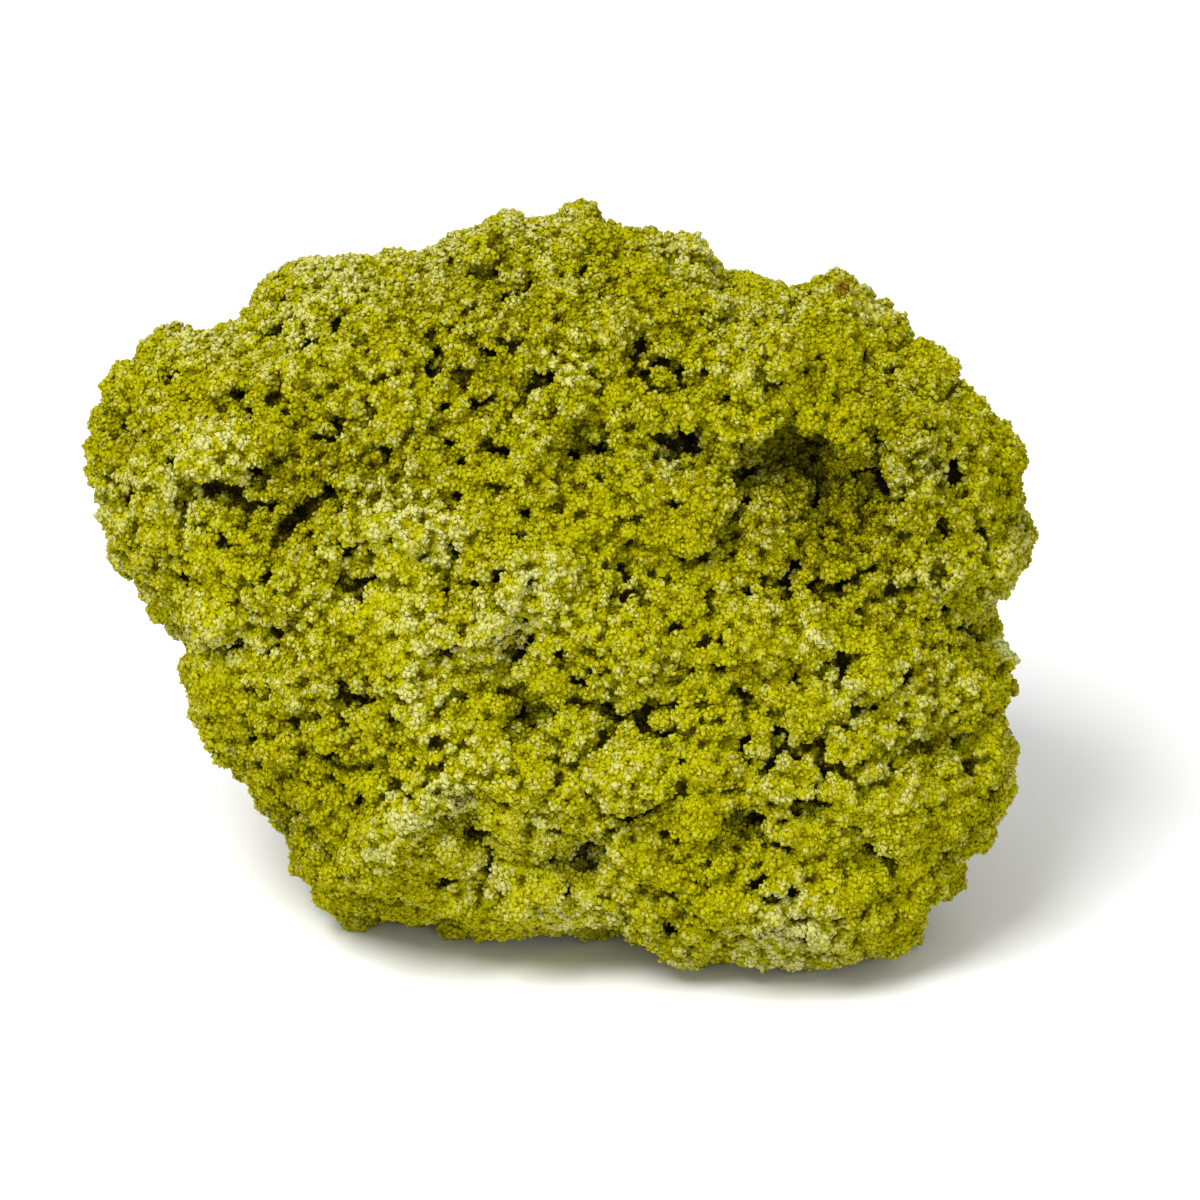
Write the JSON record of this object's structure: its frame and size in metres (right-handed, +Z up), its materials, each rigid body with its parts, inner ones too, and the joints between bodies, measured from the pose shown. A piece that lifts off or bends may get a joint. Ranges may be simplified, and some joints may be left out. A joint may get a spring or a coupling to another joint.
{
  "type": "nontronite specimen",
  "caption": "Hand-sized mass of granular yellow-green nontronite clay mineral with lumps, ledges, pits and a flat resting face",
  "frame": {"origin": "middle of the specimen's box, on the surface that it rests on", "axes": "+X along the longest extent, to the right of its broad face; -Y out of that broad face; +Z up"},
  "size_m": [0.0856, 0.0594, 0.0648],
  "materials": {
    "mineral": "matte"
  },
  "bodies": {
    "root": {"nontronite": "mineral"}
  },
  "joints": []
}
